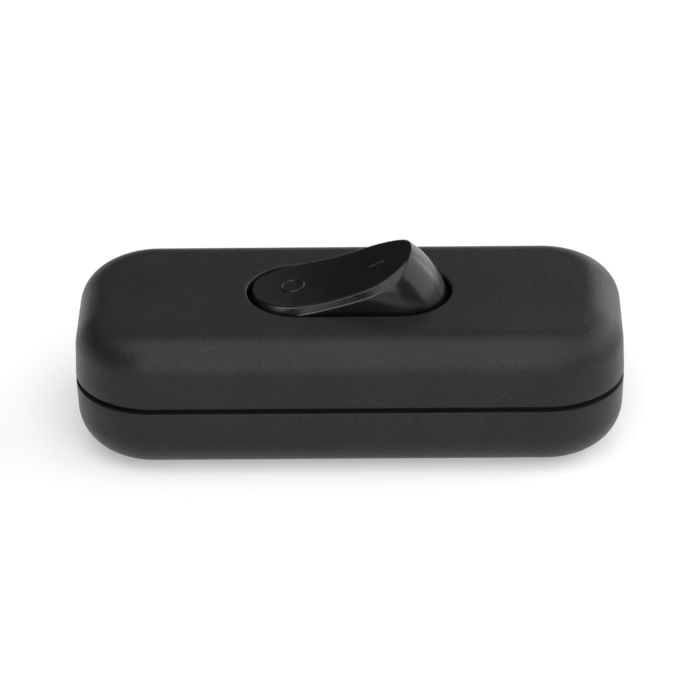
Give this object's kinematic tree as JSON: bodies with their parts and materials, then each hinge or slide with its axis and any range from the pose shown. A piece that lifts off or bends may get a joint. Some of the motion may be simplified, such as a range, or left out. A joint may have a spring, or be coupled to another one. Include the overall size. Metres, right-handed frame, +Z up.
{
  "type": "inline cord switch",
  "caption": "Inline cord switch: rounded split housing with a shadow groove, an oval see-saw rocker in its top and a round cord inlet in each end.",
  "frame": {"origin": "middle of the flat underside", "axes": "+X along the cord, from the O end to the I end; +Y across; +Z up, out of the rocker's side"},
  "size_m": [0.068, 0.029, 0.0239],
  "materials": {
    "housing_plastic": "fine moulded texture",
    "rocker_plastic": "polished",
    "plunger_plastic": "smooth",
    "clamp_plastic": "smooth",
    "brass": "stamped",
    "contact_silver": "satin",
    "spring_steel": "drawn wire",
    "screw_steel": "zinc plated",
    "washer_steel": "zinc plated"
  },
  "bodies": {
    "housing": {"upper_shell": "housing_plastic", "lower_shell": "housing_plastic", "fixed_contact": "contact_silver", "common_terminal": "brass", "fixed_terminal": "brass", "neutral_link": "brass", "line_in_screw": "screw_steel", "line_out_screw": "screw_steel", "neutral_in_screw": "screw_steel", "neutral_out_screw": "screw_steel", "line_in_washer": "washer_steel", "line_out_washer": "washer_steel", "neutral_in_washer": "washer_steel", "neutral_out_washer": "washer_steel", "cord_clamp_left": "clamp_plastic", "cord_clamp_right": "clamp_plastic", "cord_clamp_screw_left_front": "screw_steel", "cord_clamp_screw_left_back": "screw_steel", "cord_clamp_screw_right_front": "screw_steel", "cord_clamp_screw_right_back": "screw_steel", "housing_screw_left": "screw_steel", "housing_screw_right": "screw_steel"},
    "rocker": {"rocker": "rocker_plastic", "plunger_spring": "spring_steel"},
    "plunger": {"plunger": "plunger_plastic"},
    "bridge": {"contact_bridge": "brass", "moving_contact": "contact_silver"}
  },
  "joints": [
    {"name": "rocker_tilt", "type": "hinge", "parent": "housing", "child": "rocker", "pos_m": [0, 0, 0.0139], "axis": [0, 1, 0], "range_deg": [0, 32]},
    {"name": "bridge_tilt", "type": "hinge", "parent": "housing", "child": "bridge", "pos_m": [0, 0, 0.0066], "axis": [0, 1, 0], "range_deg": [-18, 0]},
    {"name": "plunger_slide", "type": "slide", "parent": "rocker", "child": "plunger", "axis": [-0.2756, 0, 0.9613], "range_m": [0, 0.0006], "stiffness_N_per_m": 400, "springref_m": -0.002, "deforming": ["plunger_spring"]}
  ],
  "couplings": [
    {"joint": "bridge_tilt", "follows": "rocker_tilt", "ratio": -0.5625}
  ]
}
